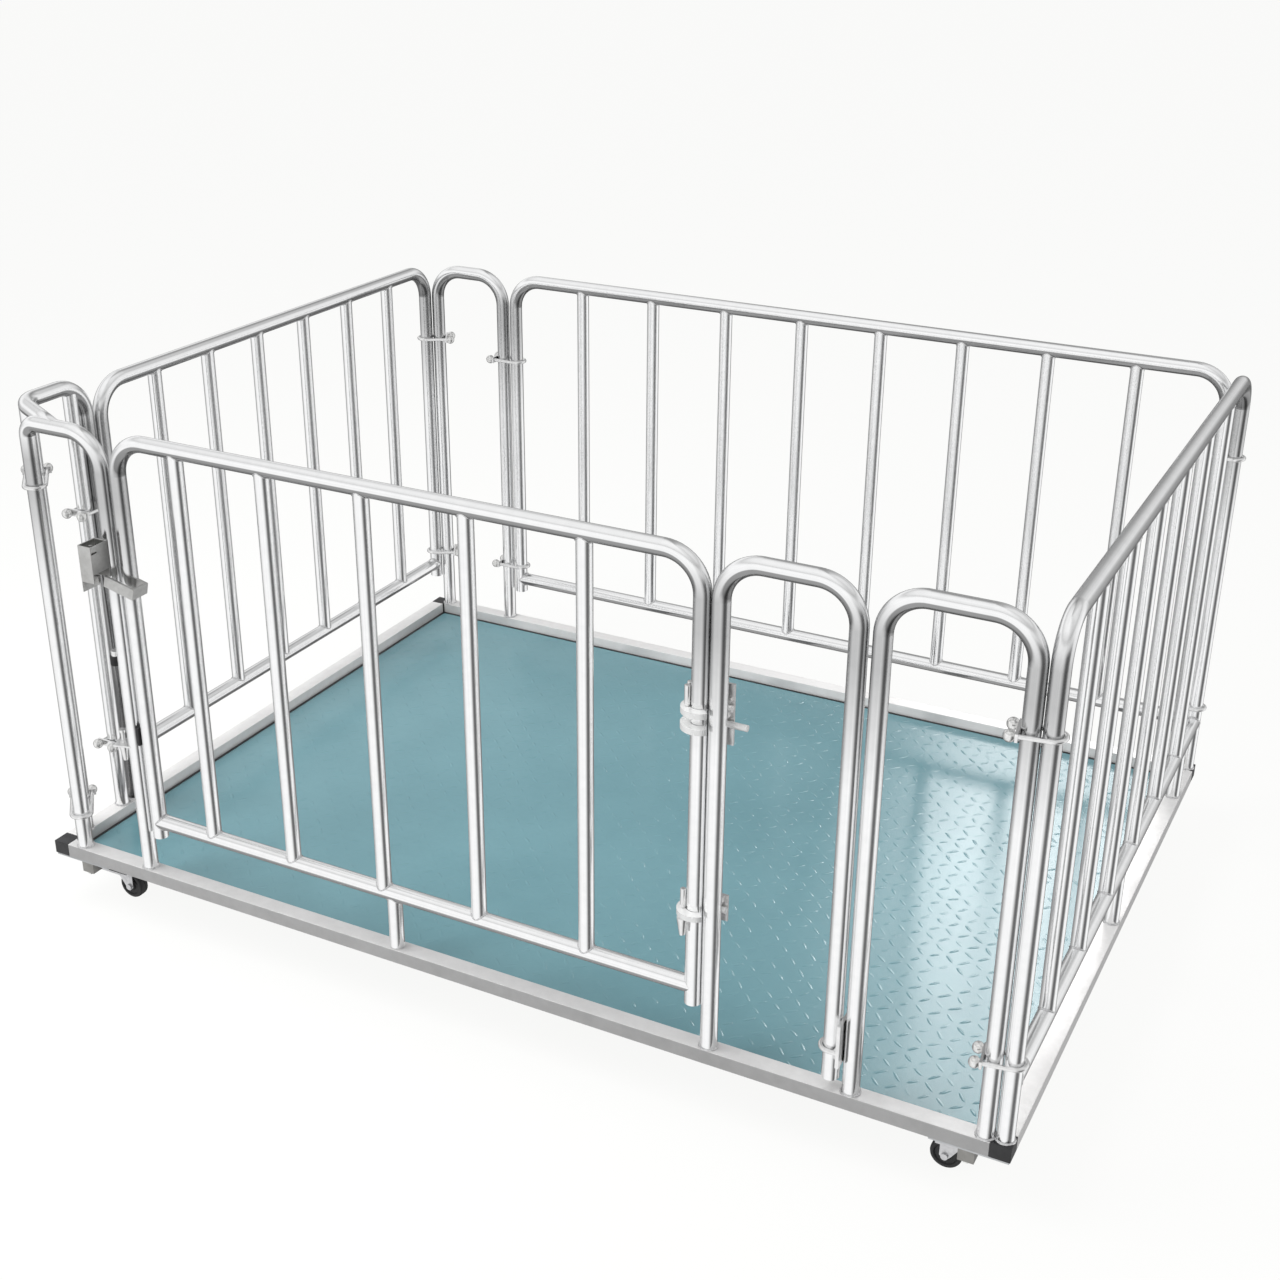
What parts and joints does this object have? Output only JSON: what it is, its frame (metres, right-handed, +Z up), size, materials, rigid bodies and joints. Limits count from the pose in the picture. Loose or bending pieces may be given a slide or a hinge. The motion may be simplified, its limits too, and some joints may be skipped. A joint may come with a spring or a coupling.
{
  "type": "livestock weighing crate",
  "caption": "Fenced weighing platform for livestock: tread-plate deck on load cells and swivel casters, tube panels, hinged gate and latch.",
  "frame": {"origin": "on the floor under the middle of the platform", "axes": "+X along the front from the latch towards the gate hinges, +Y from the front to the back, +Z up"},
  "size_m": [1.813, 1.3398, 0.955],
  "materials": {
    "fence_tube": "bright galvanised tube",
    "rim_steel": "brushed rectangular tube",
    "black_plastic": "matt black moulding",
    "tread_plate": "grey-green painted tread plate",
    "base_steel": "grey painted steel",
    "cell_metal": "machined",
    "box_plastic": "moulded",
    "buffer_rubber": "matt rubber",
    "wheel_rubber": "matt rubber",
    "caster_zinc": "zinc plated pressing",
    "fastener_zinc": "zinc plated",
    "fitting_zinc": "zinc plated"
  },
  "bodies": {
    "crate": {"rim_front": "rim_steel", "rim_back": "rim_steel", "rim_left": "rim_steel", "rim_right": "rim_steel", "rim_caps": "black_plastic", "deck_plate": "tread_plate", "bearers": "base_steel", "corner_plates": "base_steel", "load_cells": "cell_metal", "foot_plates": "base_steel", "cell_bolts": "fastener_zinc", "caster_bolts": "fastener_zinc", "junction_box": "box_plastic", "junction_lid": "box_plastic", "cable_glands": "box_plastic", "corner_hoop": "fence_tube", "corner_post_side": "fence_tube", "corner_bar": "fence_tube", "hoop_a": "fence_tube", "hoop_b": "fence_tube", "hoop_c": "fence_tube", "hoop_e": "fence_tube", "panel_d_frame": "fence_tube", "panel_d_rail": "fence_tube", "panel_d_bars": "fence_tube", "panel_d_feet": "fence_tube", "panel_f_frame": "fence_tube", "panel_f_rail": "fence_tube", "panel_f_bars": "fence_tube", "panel_g_frame": "fence_tube", "panel_g_rail": "fence_tube", "panel_g_bars": "fence_tube", "u_bolts": "fitting_zinc", "clamp_straps": "fitting_zinc", "clamp_nuts": "fastener_zinc", "tie_plate": "fitting_zinc", "hinge_eyes": "fitting_zinc", "hinge_plates": "fitting_zinc", "hinge_bolts": "fastener_zinc", "hinge_cup": "fitting_zinc", "stop_fitting": "fitting_zinc", "stop_buffer": "buffer_rubber", "latch_box": "fitting_zinc", "latch_pin": "fastener_zinc", "caster_plates": "caster_zinc"},
    "gate": {"gate_frame": "fence_tube", "gate_rail": "fence_tube", "gate_bars": "fence_tube", "gate_lugs": "fitting_zinc", "strike_bar": "fitting_zinc"},
    "catch": {"latch_catch": "fitting_zinc"},
    "fork_fl": {"caster_fork_fl": "caster_zinc"},
    "wheel_fl": {"caster_wheel_fl": "wheel_rubber"},
    "fork_fr": {"caster_fork_fr": "caster_zinc"},
    "wheel_fr": {"caster_wheel_fr": "wheel_rubber"},
    "fork_bl": {"caster_fork_bl": "caster_zinc"},
    "wheel_bl": {"caster_wheel_bl": "wheel_rubber"},
    "fork_br": {"caster_fork_br": "caster_zinc"},
    "wheel_br": {"caster_wheel_br": "wheel_rubber"}
  },
  "joints": [
    {"name": "gate_swing", "type": "hinge", "parent": "crate", "child": "gate", "pos_m": [0.3885, -0.625, 0.5255], "axis": [0, 0, 1], "range_deg": [0, 100]},
    {"name": "catch_turn", "type": "hinge", "parent": "crate", "child": "catch", "pos_m": [-0.689, -0.6622, 0.7365], "axis": [0, -1, 0], "range_deg": [0, 13]},
    {"name": "swivel_fl", "type": "hinge", "parent": "crate", "child": "fork_fl", "pos_m": [-0.803, -0.567, 0.05], "axis": [0, 0, 1], "continuous": true},
    {"name": "roll_fl", "type": "hinge", "parent": "fork_fl", "child": "wheel_fl", "pos_m": [-0.785, -0.567, 0.025], "axis": [0, 1, 0], "continuous": true},
    {"name": "swivel_fr", "type": "hinge", "parent": "crate", "child": "fork_fr", "pos_m": [0.803, -0.567, 0.05], "axis": [0, 0, 1], "continuous": true},
    {"name": "roll_fr", "type": "hinge", "parent": "fork_fr", "child": "wheel_fr", "pos_m": [0.785, -0.567, 0.025], "axis": [0, 1, 0], "continuous": true},
    {"name": "swivel_bl", "type": "hinge", "parent": "crate", "child": "fork_bl", "pos_m": [-0.803, 0.567, 0.05], "axis": [0, 0, 1], "continuous": true},
    {"name": "roll_bl", "type": "hinge", "parent": "fork_bl", "child": "wheel_bl", "pos_m": [-0.785, 0.567, 0.025], "axis": [0, 1, 0], "continuous": true},
    {"name": "swivel_br", "type": "hinge", "parent": "crate", "child": "fork_br", "pos_m": [0.803, 0.567, 0.05], "axis": [0, 0, 1], "continuous": true},
    {"name": "roll_br", "type": "hinge", "parent": "fork_br", "child": "wheel_br", "pos_m": [0.785, 0.567, 0.025], "axis": [0, 1, 0], "continuous": true}
  ]
}
